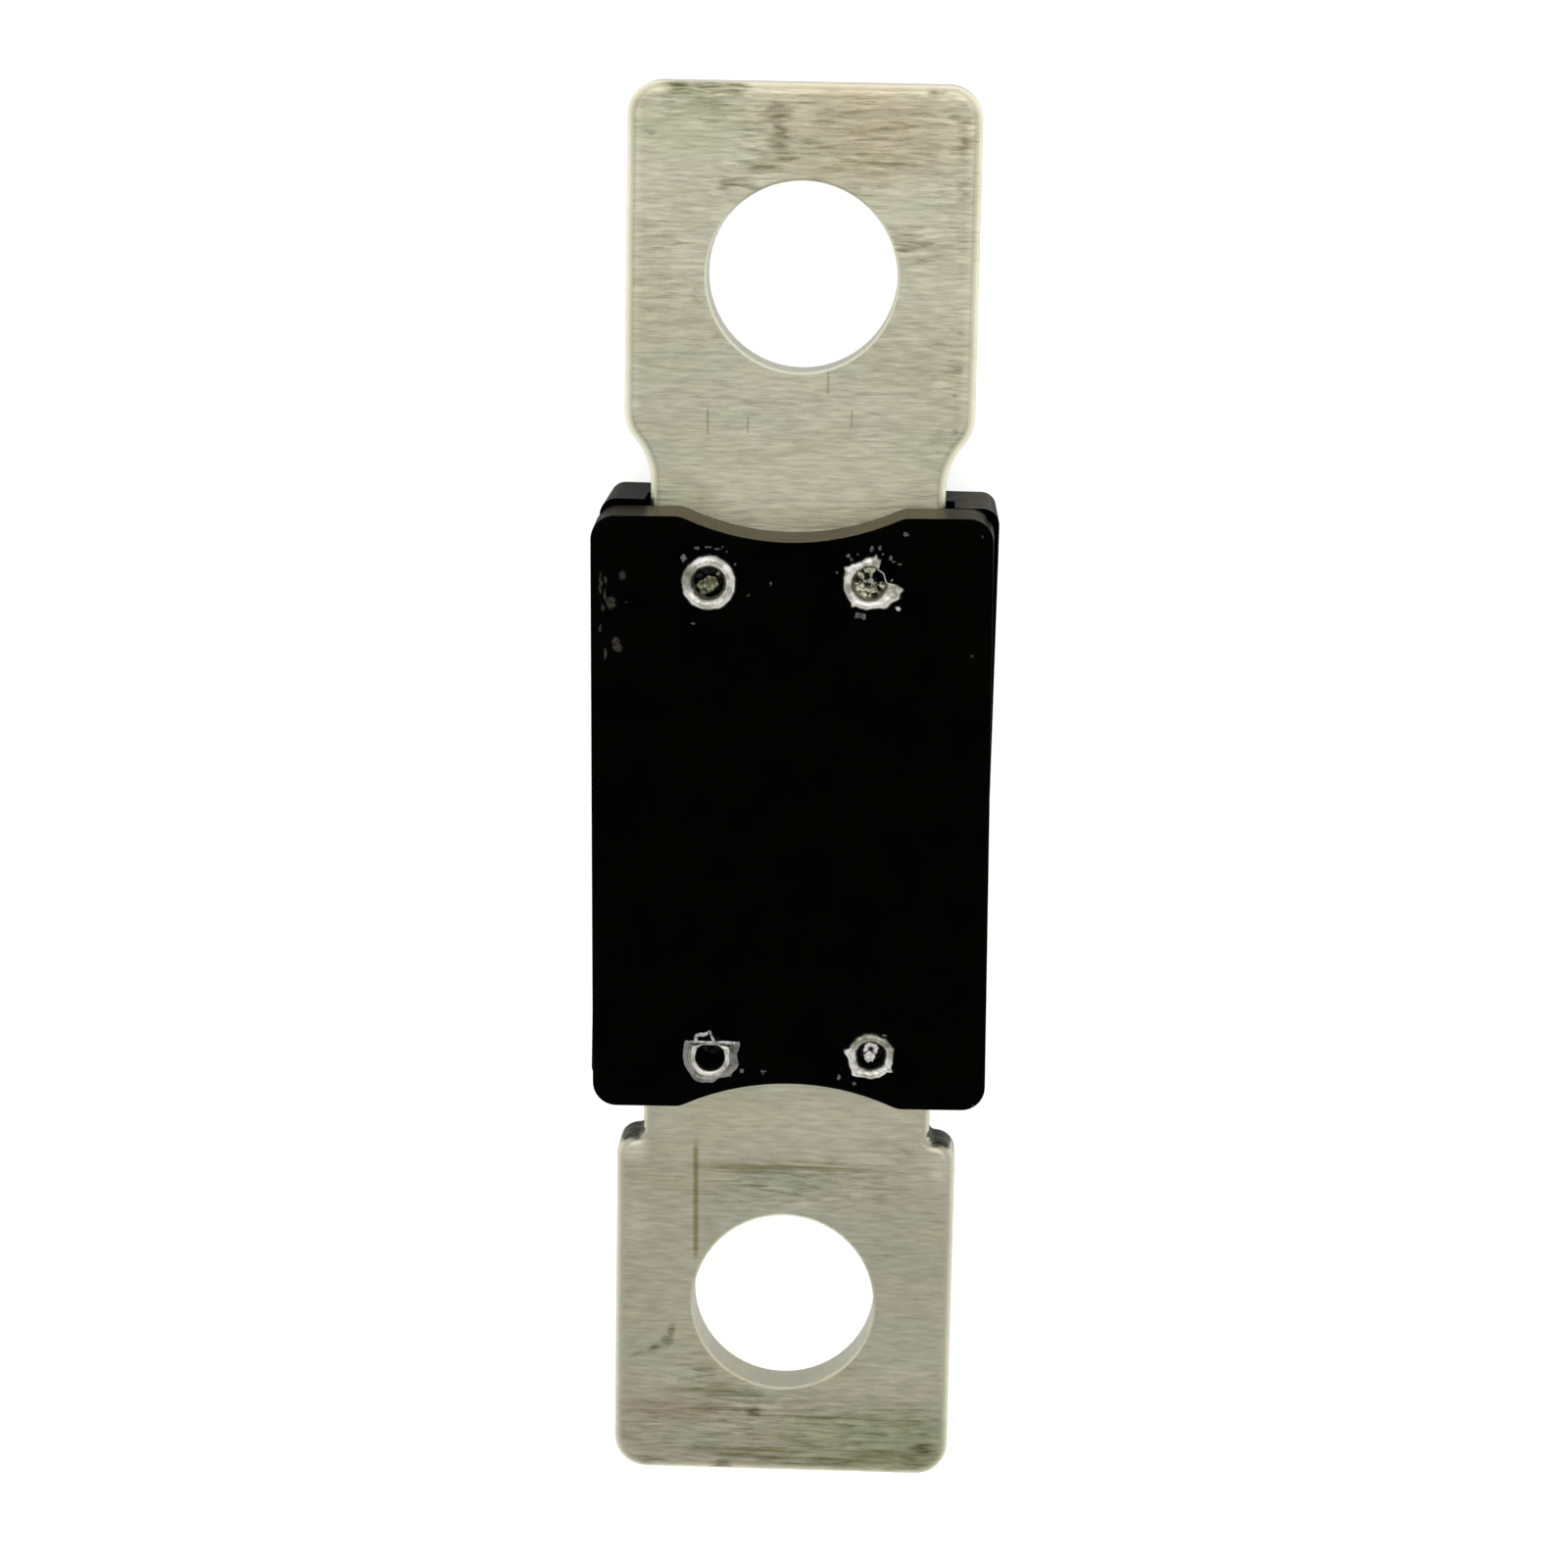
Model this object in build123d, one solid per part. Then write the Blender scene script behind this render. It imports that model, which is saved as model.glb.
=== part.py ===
from build123d import *
import os
from math import acos, sin

# Bolt down strip fuse, in millimetres.
# It lies on its back cover: X runs across it, Y along it, and Z up out of its front cover.
# The origin is on the back face, under the middle of the fuse.

# Terminals, the two bolt down ends of the strip
hole_spacing = 50.8
bolt_hole_diameter = 9.0
terminal_width = 16.7
end_distance = 9.0
terminal_corner_radius = 1.6
strip_thickness = 2.5
hole_rim_chamfer = 0.12
edge_roll_radius = 0.5

# Necks, which run from the shoulders of the terminals into the housing
shoulder_step = 1.3
upper_neck_length = 1.0
upper_outer_radius = 2.0
upper_inner_radius = 3.1
lower_neck_length = 2.15
lower_outer_radius = 1.0
lower_inner_radius = 0.35

# Fusible link, the skived and narrowed middle of the strip.
# The corners of its notches take no more than the given share of half their length.
link_width = 4.6
link_end_margin = 0.4
link_corner_radius = 1.6
link_corner_share = 0.9
link_thickness = 0.9
skive_end_margin = 2.0
skive_ramp = 1.4

# Housing, a front and a back cover that meet at the level of the strip's front face
cover_length = 28.95
cover_side_wall = 2.15
front_cover_depth = 3.2
back_cover_floor = 4.0
front_corner_radius = 1.2
back_corner_radius = 0.8
cover_edge_radius = 0.2
front_draft_angle = 1.0
back_draft_angle = 0.5
scallop_depth = 1.2
scallop_blend_radius = 1.2
slot_side_clearance = 0.35

# Both covers sit slightly askew on the strip: degrees that each is turned, anticlockwise from the front,
# and how far the back cover has slipped towards +Y
front_cover_turn = 0.7
back_cover_turn = -0.35
back_cover_slip = 0.18

# Arc chamber, a pocket in each cover around the link
chamber_width = 12.6
chamber_end_wall = 1.4
chamber_corner_radius = 1.5
front_wall = 1.3
back_wall = 1.4

# Rivets, semi-tubular, with their heads sunk in the back and their ends rolled over the front
rivet_spacing_x = 7.7
rivet_end_distance = 2.9
rivet_diameter = 2.0
rivet_front_clearance = 0.1
rivet_back_clearance = 0.4
rivet_strip_clearance = 0.3
rivet_head_diameter = 3.2
rivet_head_thickness = 0.6
rivet_head_dome = 0.25
rivet_head_recess = 0.25
rivet_head_clearance = 0.45
rivet_bore_diameter = 1.5
rivet_bore_depth = 2.6
rivet_bore_cone = 0.4
rolled_ring_diameter = 2.6
rolled_ring_height = 0.32

# Levels along Z
strip_back = back_cover_floor
strip_front = strip_back + strip_thickness
front_face = strip_front + front_cover_depth
head_seat = rivet_head_recess + rivet_head_thickness

# Places along Y, from the ends of the strip to its middle
hole_y = hole_spacing / 2
end_y = hole_y + end_distance
cover_y = cover_length / 2
rivet_y = cover_y - rivet_end_distance
head_recess_radius = rivet_head_diameter / 2 + rivet_head_clearance
chamber_y = rivet_y - head_recess_radius - chamber_end_wall
skive_y = chamber_y - skive_end_margin
link_y = skive_y - skive_ramp - link_end_margin

# Places across, along X
terminal_x = terminal_width / 2
neck_x = terminal_x - shoulder_step
slot_x = neck_x + slot_side_clearance
cover_x = slot_x + cover_side_wall
rivet_points = [(x * rivet_spacing_x / 2, y * rivet_y) for y in (1, -1) for x in (-1, 1)]


def shoulder_points(neck_length, outer_radius, inner_radius, end):
    """Corner points of the sweep from terminal to neck, for the end at +Y (1) or -Y (-1)."""
    swing = acos(max(0.0, 1 - shoulder_step / (outer_radius + inner_radius)))
    flat = max(0.0, shoulder_step - outer_radius - inner_radius)
    turn = outer_radius / (outer_radius + inner_radius)
    finish = cover_y + neck_length
    middle = finish + inner_radius * sin(swing)
    start = middle + outer_radius * sin(swing)
    middle_x = terminal_x - (shoulder_step - flat) * turn
    return [
        (terminal_x, end * start),
        (middle_x, end * middle),
        (middle_x - flat, end * middle),
        (neck_x, end * finish),
    ]


def end_and_shoulder(neck_length, outer_radius, inner_radius, end):
    """Half outline of one terminal, from the middle of its outer end to the side of its neck."""
    start, middle, flat_end, finish = shoulder_points(neck_length, outer_radius, inner_radius, end)
    corner = terminal_corner_radius
    inward = (0, -end)
    outline = Line((0, end * end_y), (terminal_x - corner, end * end_y))
    outline += TangentArc(
        (terminal_x - corner, end * end_y), (terminal_x, end * (end_y - corner)), tangent=(1, 0)
    )
    outline += Line((terminal_x, end * (end_y - corner)), start)
    outline += TangentArc(start, middle, tangent=inward)
    if flat_end != middle:
        outline += Line(middle, flat_end)
    outline += TangentArc(finish, flat_end, tangent=(0, end))
    return outline, finish


def strip_outline():
    """Flat outline of the stamped strip."""
    upper, upper_neck = end_and_shoulder(upper_neck_length, upper_outer_radius, upper_inner_radius, 1)
    lower, lower_neck = end_and_shoulder(lower_neck_length, lower_outer_radius, lower_inner_radius, -1)
    right = upper + Line(upper_neck, lower_neck) + lower
    return make_face(right + mirror(right, about=Plane.YZ))


def link_cuts():
    """Side notches and skived faces that leave the fusible link."""
    corner = min(link_corner_radius, link_corner_share * link_y)
    notch_width = 2 * neck_x
    notch = Pos((link_width + notch_width) / 2, 0, strip_back) * extrude(
        RectangleRounded(notch_width, 2 * link_y, corner), strip_thickness
    )
    depth = (strip_thickness - link_thickness) / 2
    floor_y = skive_y - skive_ramp
    bevel = make_face(
        Polyline((-skive_y, 0), (skive_y, 0), (floor_y, -depth), (-floor_y, -depth), close=True)
    )
    across = Plane(origin=(-neck_x, 0, strip_front), x_dir=(0, 1, 0), z_dir=(1, 0, 0))
    front_skive = extrude(across * bevel, 2 * neck_x)
    back_skive = mirror(front_skive, about=Plane.XY.offset((strip_front + strip_back) / 2))
    return [notch, mirror(notch, about=Plane.YZ), front_skive, back_skive]


def make_strip():
    """Conductor strip: two terminals, two necks and the fusible link between them."""
    strip = Pos(0, 0, strip_back) * extrude(strip_outline(), strip_thickness)
    rolled_edges = strip.faces().sort_by(Axis.Z)[-1].outer_wire().edges()
    strip = fillet(rolled_edges, edge_roll_radius)
    for y in (-hole_y, hole_y):
        strip -= Pos(0, y, strip_back) * extrude(Circle(bolt_hole_diameter / 2), strip_thickness)
    rims = strip.edges().filter_by(GeomType.CIRCLE).filter_by(lambda edge: edge.is_closed)
    strip = chamfer(rims, hole_rim_chamfer)
    rivet_hole = rivet_diameter / 2 + rivet_strip_clearance
    for x, y in rivet_points:
        strip -= Pos(x, y, strip_back) * extrude(Circle(rivet_hole), strip_thickness)
    for cut in link_cuts():
        strip -= cut
    return strip


def cover_outline(corner_radius):
    """Outline of a cover at the parting plane, scalloped round each bolt's washer."""
    outline = RectangleRounded(2 * cover_x, cover_length, corner_radius)
    scallop_radius = hole_y - cover_y + scallop_depth
    for y in (-hole_y, hole_y):
        outline -= Pos(0, y) * Circle(scallop_radius)
    arc_ends = outline.vertices().sort_by(lambda point: abs(point.X))[:4]
    return fillet(arc_ends, scallop_blend_radius)


def chamber():
    """Outline of the arc chamber."""
    return RectangleRounded(chamber_width, 2 * chamber_y, chamber_corner_radius)


def rivet_holes(bottom, top, clearance):
    """Holes for the rivets through a cover, from one level to another."""
    radius = rivet_diameter / 2 + clearance
    return [Pos(x, y, bottom) * extrude(Circle(radius), top - bottom) for x, y in rivet_points]


def make_front_cover():
    """Front cover: a drafted lid with a rounded face and a pocket over the link."""
    parting = Plane.XY.offset(strip_front)
    cover = extrude(parting * cover_outline(front_corner_radius), front_cover_depth)
    cover = draft(cover.faces().filter_by(Axis.Z, reverse=True), parting, front_draft_angle)
    face_edges = cover.faces().sort_by(Axis.Z)[-1].outer_wire().edges()
    cover = fillet(face_edges, cover_edge_radius)
    cover -= Pos(0, 0, strip_front) * extrude(chamber(), front_cover_depth - front_wall)
    for hole in rivet_holes(strip_front, front_face, rivet_front_clearance):
        cover -= hole
    return Rot(0, 0, front_cover_turn) * cover


def make_back_cover():
    """Back cover: a drafted tray with a channel that the strip lies in, and the other half of the chamber."""
    parting = Plane.XY.offset(strip_front)
    cover = extrude(parting * cover_outline(back_corner_radius), strip_front, dir=(0, 0, -1))
    cover = draft(cover.faces().filter_by(Axis.Z, reverse=True), parting, -back_draft_angle)
    back_edges = cover.faces().sort_by(Axis.Z)[0].outer_wire().edges()
    cover = fillet(back_edges, cover_edge_radius)
    cover -= Pos(0, 0, strip_back) * extrude(Rectangle(2 * slot_x, cover_length), strip_thickness)
    cover -= Pos(0, 0, back_wall) * extrude(chamber(), strip_back - back_wall)
    for x, y in rivet_points:
        cover -= Pos(x, y) * extrude(Circle(head_recess_radius), head_seat)
    for hole in rivet_holes(head_seat, strip_back, rivet_back_clearance):
        cover -= hole
    return Pos(0, back_cover_slip) * Rot(0, 0, back_cover_turn) * cover


def make_rivet():
    """One rivet on the Z axis: domed head below, solid shank, tubular end rolled over the front face."""
    head = rivet_head_diameter / 2
    shank = rivet_diameter / 2
    bore = rivet_bore_diameter / 2
    ring = rolled_ring_diameter / 2
    bore_floor = front_face - rivet_bore_depth
    rim = rivet_head_recess + rivet_head_dome
    profile = TangentArc((0, rivet_head_recess), (head, rim), tangent=(1, 0))
    profile += Polyline(
        (head, rim), (head, head_seat), (shank, head_seat), (shank, front_face), (ring, front_face)
    )
    profile += ThreePointArc(
        (ring, front_face), ((ring + bore) / 2, front_face + rolled_ring_height), (bore, front_face)
    )
    profile += Polyline(
        (bore, front_face), (bore, bore_floor), (0, bore_floor - rivet_bore_cone), (0, rivet_head_recess)
    )
    return revolve(Plane.XZ * make_face(profile), Axis.Z)


def make_rivets():
    """The four rivets, in line with the holes of the front cover."""
    return Rot(0, 0, front_cover_turn) * Compound([Pos(x, y) * make_rivet() for x, y in rivet_points])


def write(name, shape):
    """Writes one node as a STEP file."""
    shape.label = name
    export_step(shape, f"parts/{name}.step")


os.makedirs("parts", exist_ok=True)
write("fuse_strip", make_strip())
write("front_cover", make_front_cover())
write("back_cover", make_back_cover())
write("rivets", make_rivets())
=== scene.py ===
import math
import random
from dataclasses import dataclass

import bpy
from mathutils import Matrix, Vector, noise


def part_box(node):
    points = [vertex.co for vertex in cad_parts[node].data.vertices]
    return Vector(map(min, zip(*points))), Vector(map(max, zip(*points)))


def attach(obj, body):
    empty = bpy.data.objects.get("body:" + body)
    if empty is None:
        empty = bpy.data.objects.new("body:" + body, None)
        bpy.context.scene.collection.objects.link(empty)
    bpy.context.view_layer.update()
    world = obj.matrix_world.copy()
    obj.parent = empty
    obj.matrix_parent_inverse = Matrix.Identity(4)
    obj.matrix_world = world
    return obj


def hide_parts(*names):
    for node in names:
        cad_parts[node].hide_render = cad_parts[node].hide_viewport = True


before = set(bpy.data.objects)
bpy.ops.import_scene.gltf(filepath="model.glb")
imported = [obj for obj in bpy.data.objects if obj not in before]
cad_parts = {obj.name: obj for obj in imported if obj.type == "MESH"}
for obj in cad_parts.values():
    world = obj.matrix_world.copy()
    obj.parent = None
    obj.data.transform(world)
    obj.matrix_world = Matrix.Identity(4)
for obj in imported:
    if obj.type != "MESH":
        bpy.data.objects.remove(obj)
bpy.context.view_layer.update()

MM = 0.001
BODY = "root"

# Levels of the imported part, in millimetres
STRIP_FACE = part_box("fuse_strip")[1].z / MM
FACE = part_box("front_cover")[1].z / MM
RING_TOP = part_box("rivets")[1].z / MM
HEAD_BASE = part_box("rivets")[0].z / MM

# Camera, fitted to the edges and hole rims of the photograph
CAMERA_PLACE = Vector((5.318, 41.187, 194.586)) * MM
CAMERA_AIM = Vector((-0.413, 0.965, 6.5)) * MM
CAMERA_ROLL = math.radians(-1.04)
CAMERA_LENS = 91.28
SENSOR = 36.0

# Studio: one soft lamp, a plain floor and a pale room, in metres and watts
LAMP_PLACE = (0.02, 0.25, 0.6)
LAMP_SIZE = 0.5
LAMP_POWER = 0.8
FLOOR_HALF = 1.5
FLOOR_GLOW = 0.66
LOW_SKY, HIGH_SKY = 0.35, 0.98
LOW_SKY_GLOW, HIGH_SKY_GLOW = 1.0, 0.60

# Rivets, in millimetres: the holes of the front cover, and the head and shank of each rivet
RIVET_X = 3.85
RIVET_Y = 11.575
COVER_TURN = math.radians(0.7)
HEAD_RADIUS = 1.6
HEAD_DOME = 0.25
HEAD_TOP = 0.85
HEAD_BEVEL = 0.03
SHANK_RADIUS = 1.0
SHANK_GAP = 0.35
RIVET_STEPS = 144

# Bolt holes of the strip, in millimetres
HOLE_Y = 25.4
HOLE_RADIUS = 4.5

# Half depth of the marks, in millimetres, so that they stay on the face that they lie on
MARK_DEPTH = 0.6


class Shader:
    """A material's node tree, built by short calls that each return an output socket."""

    def __init__(self, name):
        self.material = bpy.data.materials.new(name)
        self.material.use_nodes = True
        self.tree = self.material.node_tree
        self.tree.nodes.clear()
        geometry = self.node("ShaderNodeNewGeometry")
        place = self.node("ShaderNodeTexCoord").outputs["Object"]
        self.place = self.vector("SCALE", place, scale=1 / MM)
        split = self.node("ShaderNodeSeparateXYZ", {"Vector": self.place})
        self.x, self.y, self.z = split.outputs
        self.frayed = self.place
        tilt = self.node("ShaderNodeSeparateXYZ", {"Vector": geometry.outputs["Normal"]})
        self.facing_across = tilt.outputs["X"]
        self.facing_along = tilt.outputs["Y"]
        self.facing_up = tilt.outputs["Z"]

    def node(self, kind, inputs=None, **settings):
        """A node with its settings, and its inputs set to values or linked to sockets."""
        made = self.tree.nodes.new(kind)
        for key, value in settings.items():
            setattr(made, key, value)
        for key, value in (inputs or {}).items():
            if isinstance(value, bpy.types.NodeSocket):
                self.tree.links.new(value, made.inputs[key])
            else:
                made.inputs[key].default_value = value
        return made

    def vector(self, operation, first, second=None, scale=None):
        """The result of a vector operation."""
        inputs = {0: first}
        if second is not None:
            inputs[1] = second
        if scale is not None:
            inputs["Scale"] = scale
        return self.node("ShaderNodeVectorMath", inputs, operation=operation).outputs["Vector"]

    def calc(self, operation, *values, clamp=False):
        """The result of a math operation on values."""
        inputs = dict(enumerate(values))
        return self.node("ShaderNodeMath", inputs, operation=operation, use_clamp=clamp).outputs[0]

    def times(self, first, *others):
        """The product of values."""
        for other in others:
            first = self.calc("MULTIPLY", first, other)
        return first

    def plus(self, first, *others):
        """The sum of values."""
        for other in others:
            first = self.calc("ADD", first, other)
        return first

    def less(self, first, second):
        """The difference of two values."""
        return self.calc("SUBTRACT", first, second)

    def noise(self, stretch, detail=3.0, roughness=0.55, shift=0.0):
        """Noise whose features are about 1 / stretch millimetres long on each axis."""
        squeezed = self.vector("MULTIPLY", self.place, stretch)
        where = self.vector("ADD", squeezed, (shift, 0.7 * shift, 1.3 * shift))
        inputs = {"Vector": where, "Scale": 1.0, "Detail": detail, "Roughness": roughness}
        return self.node("ShaderNodeTexNoise", inputs).outputs["Fac"]

    def step(self, value, low, high):
        """A smooth step from 0 at low to 1 at high."""
        inputs = {"Value": value, "From Min": low, "From Max": high}
        made = self.node("ShaderNodeMapRange", inputs, interpolation_type="SMOOTHSTEP")
        return made.outputs["Result"]

    def span(self, value, low, high):
        """A value from 0 to 1 spread from low to high."""
        inputs = {"Value": value, "To Min": low, "To Max": high}
        return self.node("ShaderNodeMapRange", inputs).outputs["Result"]

    def mix(self, amount, first, second, blend="MIX"):
        """Two colours mixed by an amount."""
        made = self.node("ShaderNodeMix", data_type="RGBA", blend_type=blend)
        sockets = {0: amount, 6: first, 7: second}
        for index, value in sockets.items():
            if isinstance(value, bpy.types.NodeSocket):
                self.tree.links.new(value, made.inputs[index])
            else:
                made.inputs[index].default_value = value
        return made.outputs[2]

    def multiply_colour(self, amount, colour, multiplier):
        """A colour multiplied by another colour, by an amount: a stain, or a painted shade."""
        return self.mix(amount, colour, multiplier, blend="MULTIPLY")

    def shaded(self, colour, factor):
        """A colour multiplied by a grey factor."""
        grey = self.node("ShaderNodeCombineXYZ", {0: factor, 1: factor, 2: factor}).outputs[0]
        return self.multiply_colour(1.0, colour, grey)

    def fray(self, stretch, reach):
        """Makes the rims of the patches ragged, by up to about a quarter of the reach."""
        squeezed = self.vector("MULTIPLY", self.place, stretch)
        inputs = {"Vector": squeezed, "Scale": 1.0, "Detail": 3.0}
        sway = self.node("ShaderNodeTexNoise", inputs).outputs["Color"]
        sway = self.vector("MULTIPLY", self.vector("SUBTRACT", sway, (0.5, 0.5, 0.5)), reach)
        self.frayed = self.vector("ADD", self.place, sway)

    def local(self, place, x, y, z, across, along, turn, depth):
        """A place seen from the middle of an ellipse, in units of its half sizes."""
        inputs = {
            "Vector": place,
            "Location": (x, y, z),
            "Rotation": (0.0, 0.0, math.radians(turn)),
            "Scale": (across, along, depth),
        }
        return self.node("ShaderNodeMapping", inputs, vector_type="TEXTURE").outputs["Vector"]

    def patch(self, x, y, z, across, along, turn=0.0, depth=MARK_DEPTH):
        """1 at a place in millimetres, falling to 0 at the rim of an ellipse round it."""
        inputs = {"Vector": self.local(self.frayed, x, y, z, across, along, turn, depth)}
        return self.node("ShaderNodeTexGradient", inputs, gradient_type="SPHERICAL").outputs["Fac"]

    def smudge(self, x, y, z, across, along, turn, depth):
        """A patch with an even rim."""
        inputs = {"Vector": self.local(self.place, x, y, z, across, along, turn, depth)}
        return self.node("ShaderNodeTexGradient", inputs, gradient_type="SPHERICAL").outputs["Fac"]

    def bar(self, x, y, z, across, along, turn, depth):
        """1 inside a straight scratch, falling to 0 at its sides and ends."""
        inputs = {"Vector": self.local(self.place, x, y, z, across, along, turn, depth)}
        parts = self.node("ShaderNodeSeparateXYZ", inputs).outputs
        sides = self.step(self.calc("ABSOLUTE", parts[0]), 1.0, 0.2)
        ends = self.step(self.calc("ABSOLUTE", parts[1]), 1.0, 0.7)
        return self.times(sides, ends)

    def marks(self, rows, level, form=None, depth=MARK_DEPTH):
        """The strongest of many patches, each a row of place, half sizes, turn and strength."""
        total = None
        for x, y, across, along, turn, strength in rows:
            shape = (form or self.patch)(x, y, level, across, along, turn, depth)
            spot = self.times(shape, strength)
            total = spot if total is None else self.calc("MAXIMUM", total, spot)
        return total

    def bump(self, height, distance, strength):
        """A normal tilted by a height, for relief of a distance in millimetres."""
        inputs = {"Height": height, "Distance": distance * MM, "Strength": strength}
        return self.node("ShaderNodeBump", inputs).outputs["Normal"]

    def finish(self, **inputs):
        """The material, with its surface's inputs named as in Blender, but for underscores."""
        named = {name.replace("_", " "): value for name, value in inputs.items()}
        surface = self.node("ShaderNodeBsdfPrincipled", named)
        self.node("ShaderNodeOutputMaterial", {"Surface": surface.outputs["BSDF"]})
        return self.material


def rgb(red, green, blue):
    """An opaque colour, in linear light."""
    return (red, green, blue, 1.0)


# Marks on the strip's front face, in millimetres: x, y, half width, half height, turn, strength
DARK_SMEARS = [
    (-5.9, 34.25, 1.3, 0.75, 0, 1.0),
    (-4.6, 34.25, 1.4, 0.75, 0, 1.0),
    (-3.3, 34.25, 1.1, 0.65, 0, 1.0),
    (-4.6, 33.3, 2.8, 0.9, 0, 0.55),
    (-1.3, 33.1, 1.0, 0.9, 0, 0.8),
    (-1.2, 32.0, 0.8, 1.1, 0, 1.0),
    (-0.9, 31.0, 0.9, 0.6, 0, 0.7),
    (-2.0, 30.5, 1.5, 0.5, 12, 0.9),
    (-3.4, 29.7, 0.9, 0.5, 10, 0.8),
    (5.2, 26.95, 1.3, 0.5, 0, 0.8),
    (6.1, 34.1, 0.6, 0.35, 0, 0.8),
    (7.3, 33.0, 0.6, 0.9, 70, 0.7),
    (7.3, 31.8, 0.6, 1.4, 0, 0.7),
    (7.4, 29.4, 0.5, 1.2, 0, 0.5),
    (5.0, 31.8, 3.2, 0.5, 0, 0.4),
    (2.6, 33.0, 2.4, 0.5, 0, 0.4),
    (-4.9, 24.4, 0.4, 1.0, 12, 0.45),
    (-3.9, 22.6, 0.5, 0.9, 35, 0.45),
    (7.5, 22.9, 0.45, 0.25, 0, 0.7),
    (7.5, 21.2, 0.35, 0.25, 0, 0.7),
    (7.5, 19.9, 0.35, 0.25, 0, 0.7),
    (7.4, 18.2, 0.4, 0.3, 0, 0.7),
    (-7.2, 32.0, 0.35, 0.3, 0, 0.7),
    (5.7, -17.1, 1.0, 0.3, 0, 0.5),
    (5.0, -21.0, 0.9, 0.3, 0, 0.4),
    (-4.0, -29.0, 1.0, 0.3, -12, 0.6),
    (-3.3, -29.7, 1.5, 0.32, -12, 0.7),
    (-1.4, -31.2, 0.7, 0.4, 0, 1.0),
    (6.8, -31.7, 1.8, 0.5, 6, 0.6),
    (7.2, -32.9, 0.9, 0.5, 0, 1.0),
    (6.6, -33.7, 0.9, 0.4, 8, 0.9),
    (-6.6, -33.9, 1.1, 0.4, 0, 0.7),
    (-2.9, -34.1, 0.7, 0.4, 0, 0.8),
    (-0.6, -33.7, 1.4, 0.3, 0, 0.7),
]
SMUDGES = [
    (-5.55, -27.1, 0.30, 0.60, -8, 0.9),
    (-5.75, -27.6, 0.50, 0.42, 0, 1.0),
    (-6.35, -27.95, 0.70, 0.26, 22, 0.8),
    (-7.2, -28.3, 0.80, 0.24, 20, 0.5),
    (-5.6, 34.3, 1.5, 0.6, 0, 0.8),
    (-4.0, 34.35, 1.2, 0.5, 0, 0.7),
    (-1.4, -31.2, 0.6, 0.35, 0, 0.9),
    (7.2, -32.9, 0.8, 0.4, 0, 0.8),
]
SCRATCHES = [
    (-4.41, -20.2, 0.20, 3.4, 0.7, 0.85),
    (-4.36, 18.5, 0.07, 0.7, 0, 0.6),
    (1.33, 20.4, 0.07, 0.6, 0, 0.6),
    (2.48, 18.7, 0.07, 0.5, 0, 0.5),
    (-2.45, 18.3, 0.07, 0.5, 0, 0.5),
]

# Bands of long dark lines across the strip, in the form of the marks
LINED = [
    (0.6, -18.5, 6.6, 0.6, 0, 1.0),
    (-1.0, -18.7, 2.8, 0.5, 0, 1.0),
    (0.9, -19.5, 6.8, 0.8, 0, 1.0),
    (-2.4, -30.3, 5.6, 0.5, -4, 0.6),
    (-3.4, -31.3, 5.6, 0.55, 0, 1.0),
    (3.6, -31.5, 5.6, 0.45, 0, 0.8),
    (1.4, -33.2, 8.5, 1.3, 0, 0.8),
    (3.4, 31.6, 5.0, 2.6, 0, 0.45),
]

# Parts of the front face that are worn into many dark dashes, in the form of the marks
WORN = [
    (3.4, 31.9, 8.0, 4.2, 0, 0.75),
    (-1.2, 32.0, 3.0, 3.2, 0, 1.0),
    (-4.6, 33.6, 4.4, 1.8, 0, 1.0),
    (-2.8, 30.0, 3.0, 1.6, 15, 1.0),
    (7.4, 30.0, 1.4, 6.0, 0, 1.0),
    (5.4, 27.0, 2.4, 1.8, 0, 0.8),
    (-6.4, 27.0, 2.4, 6.0, 0, 0.45),
    (7.0, 21.0, 2.0, 6.0, 0, 0.45),
    (0.6, -19.4, 8.2, 1.8, 0, 0.85),
    (5.4, -17.4, 2.6, 1.2, 0, 0.6),
    (-4.0, -29.4, 4.6, 1.8, -12, 0.7),
    (0.0, -32.6, 11.5, 3.4, 0, 1.0),
    (6.4, -32.4, 3.4, 3.4, 0, 1.0),
]

# Painted shade with grime on the walls of the lower shoulders, and pale wear with painted highlights on
# their corners, in the form of the marks
SHOULDER_SHADE_AND_GRIME = [
    (-7.6, -16.75, 0.95, 1.1, 0, 1.0),
    (7.6, -16.75, 0.95, 1.1, 0, 1.0),
]
SHOULDER_LEVEL = 5.0
PALE_WEAR_AND_HIGHLIGHTS = [
    (-7.5, -17.75, 1.1, 1.0, 0, 1.0),
    (7.6, -18.2, 0.8, 1.5, 0, 0.8),
    (-7.3, -22.0, 0.8, 2.2, 0, 0.4),
]

# Tints of the plating, in millimetres: x, y, half width, half height, strength and colour
TINTS = [
    (2.4, 32.4, 7.0, 3.4, 0.65, rgb(0.97, 0.88, 0.82)),
    (-5.4, 32.4, 3.6, 2.4, 0.7, rgb(0.85, 0.91, 0.82)),
    (6.2, 17.4, 2.6, 2.2, 0.5, rgb(0.89, 0.94, 0.84)),
    (-0.4, -19.3, 3.4, 1.1, 0.8, rgb(0.80, 0.88, 0.89)),
    (-7.0, -21.6, 2.0, 6.5, 0.25, rgb(0.97, 0.89, 0.89)),
    (-5.6, -31.2, 3.6, 0.9, 0.8, rgb(0.88, 0.80, 0.77)),
    (4.6, -32.6, 6.4, 2.4, 0.9, rgb(0.82, 0.90, 0.76)),
]


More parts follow.
